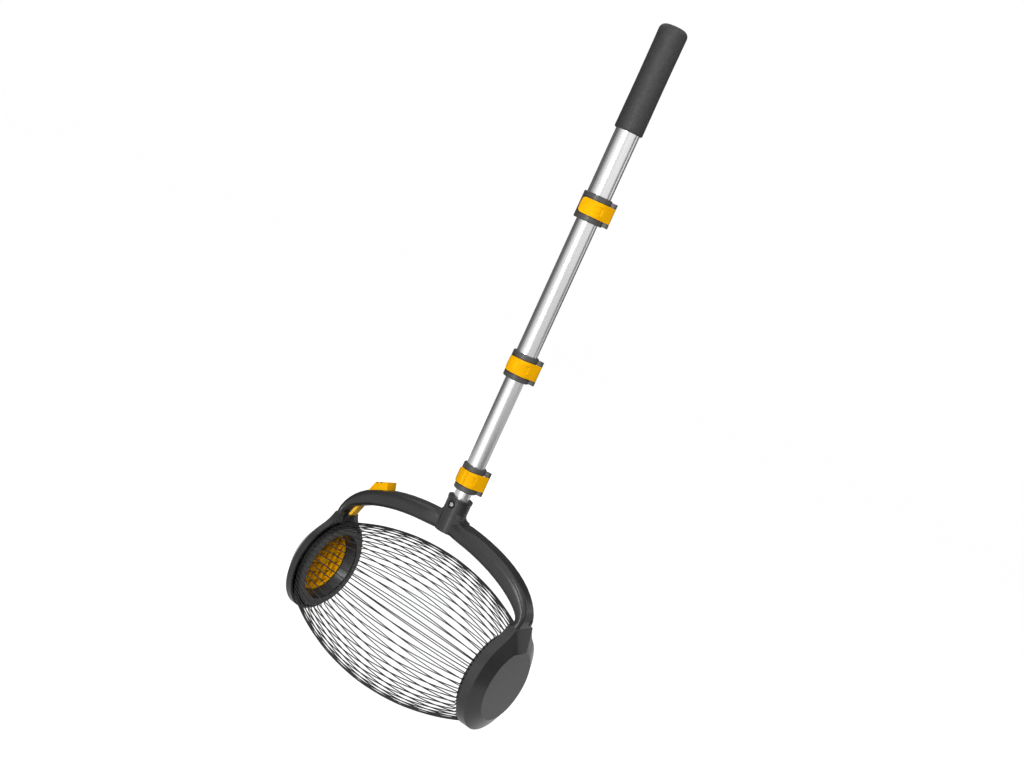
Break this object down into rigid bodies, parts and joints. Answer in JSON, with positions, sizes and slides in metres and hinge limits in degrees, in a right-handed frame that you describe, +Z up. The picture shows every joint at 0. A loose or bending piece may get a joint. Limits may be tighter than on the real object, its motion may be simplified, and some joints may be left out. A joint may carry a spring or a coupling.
{
  "type": "rolling nut gatherer",
  "caption": "Rolling wire-cage nut gatherer: sprung wires on two end rings, a forked yoke with a discharge hatch and release button, and a clamped telescopic handle with a foam grip.",
  "frame": {"origin": "on the ground under the middle of the roller, midway between its end faces", "axes": "+Z up along the handle, +X along the roller's axis towards the closed end cap, +Y away from the user"},
  "size_m": [0.298, 0.1762, 0.8086],
  "materials": {
    "dark_plastic": "satin moulded",
    "yellow_plastic": "satin moulded",
    "alloy_tube": "fine brushed",
    "steel": "bright zinc",
    "black_wire": "black coated",
    "foam": "foam"
  },
  "bodies": {
    "yoke": {"yoke": "dark_plastic", "left_housing": "dark_plastic", "right_cap": "dark_plastic", "cap_screws": "steel", "socket_screw": "steel", "socket_nut": "steel", "right_axle": "steel", "hatch_pin": "steel", "hatch_spring": "steel", "tube_1": "alloy_tube", "tube_bush_1": "dark_plastic"},
    "drum": {"left_ring": "dark_plastic", "right_disc": "dark_plastic", "cage_wires": "black_wire"},
    "hatch": {"hatch": "yellow_plastic"},
    "release_lever": {"release_lever": "yellow_plastic", "push_rod": "yellow_plastic"},
    "second_tube": {"tube_2": "alloy_tube", "tube_bush_2": "dark_plastic", "clamp_body_1": "dark_plastic", "clamp_pin_1": "steel"},
    "third_tube": {"tube_3": "alloy_tube", "tube_bush_3": "dark_plastic", "clamp_body_2": "dark_plastic", "clamp_pin_2": "steel"},
    "top_tube": {"tube_4": "alloy_tube", "grip": "foam", "clamp_body_3": "dark_plastic", "clamp_pin_3": "steel"},
    "first_lever": {"clamp_lever_1": "yellow_plastic"},
    "second_lever": {"clamp_lever_2": "yellow_plastic"},
    "third_lever": {"clamp_lever_3": "yellow_plastic"}
  },
  "joints": [
    {"name": "drum_spin", "type": "hinge", "parent": "yoke", "child": "drum", "pos_m": [0, 0, 0.08805], "axis": [1, 0, 0], "continuous": true},
    {"name": "hatch_swing", "type": "hinge", "parent": "yoke", "child": "hatch", "pos_m": [-0.14308, 0, 0.13075], "axis": [0, 1, 0], "range_deg": [0, 60], "stiffness_Nm_per_rad": 0.12, "deforming": ["hatch_spring"]},
    {"name": "release_slide", "type": "slide", "parent": "yoke", "child": "release_lever", "axis": [-0.342, 0, -0.9397], "range_m": [0, 0.008]},
    {"name": "slide_1", "type": "slide", "parent": "yoke", "child": "second_tube", "axis": [0, 0, 1], "range_m": [-0.007, 0.12]},
    {"name": "slide_2", "type": "slide", "parent": "second_tube", "child": "third_tube", "axis": [0, 0, 1], "range_m": [-0.106, 0.07]},
    {"name": "slide_3", "type": "slide", "parent": "third_tube", "child": "top_tube", "axis": [0, 0, 1], "range_m": [-0.15, 0]},
    {"name": "lever_1_swing", "type": "hinge", "parent": "second_tube", "child": "first_lever", "pos_m": [0.01568, 0.00731, 0.26705], "axis": [0, 0, 1], "range_deg": [0, 120]},
    {"name": "lever_2_swing", "type": "hinge", "parent": "third_tube", "child": "second_lever", "pos_m": [0.01704, 0.00795, 0.40555], "axis": [0, 0, 1], "range_deg": [0, 120]},
    {"name": "lever_3_swing", "type": "hinge", "parent": "top_tube", "child": "third_lever", "pos_m": [0.0184, 0.00858, 0.59655], "axis": [0, 0, 1], "range_deg": [0, 120]}
  ],
  "couplings": [
    {"joint": "release_slide", "follows": "hatch_swing", "m_per_rad": 0.0076394}
  ]
}
